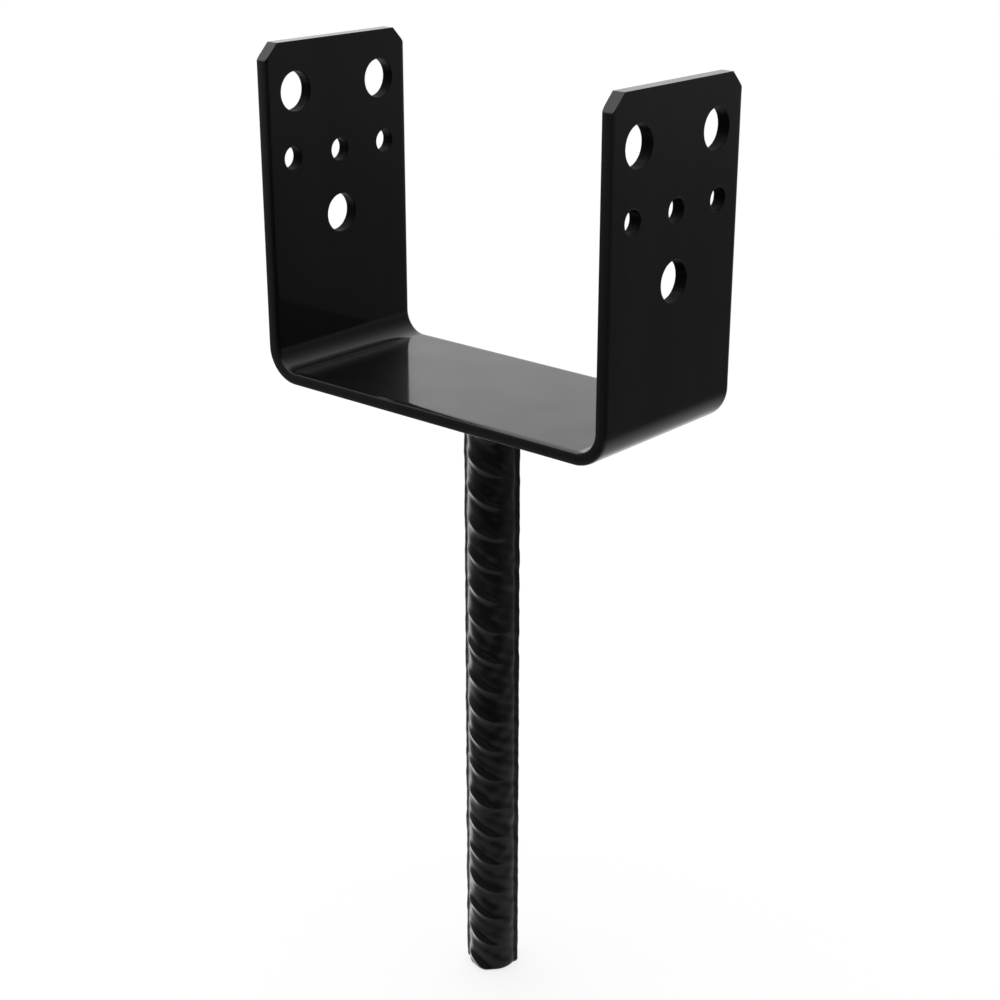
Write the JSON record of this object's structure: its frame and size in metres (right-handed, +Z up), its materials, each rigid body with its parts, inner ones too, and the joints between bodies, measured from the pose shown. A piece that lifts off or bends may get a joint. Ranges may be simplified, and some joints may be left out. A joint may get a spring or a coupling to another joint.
{
  "type": "u-shaped post base with anchor bar",
  "caption": "U-shaped steel post base: a folded strip with punched bolt and screw holes in both ears, welded on a ribbed bar that is cast into concrete.",
  "frame": {"origin": "centre of the seat's top face, where the foot of the post stands", "axes": "+Z up the ears, away from the anchor bar; X across the U from ear to ear; Y along the strip's width"},
  "size_m": [0.134, 0.06, 0.309],
  "materials": {
    "plate_coat": "smooth black powder coat, high gloss",
    "bar_coat": "black powder coat over a rolled ribbed bar, softer gloss",
    "weld_coat": "black powder coat over a weld bead"
  },
  "bodies": {
    "root": {"u_plate": "plate_coat", "anchor_bar": "bar_coat", "weld_bead": "weld_coat"}
  },
  "joints": []
}
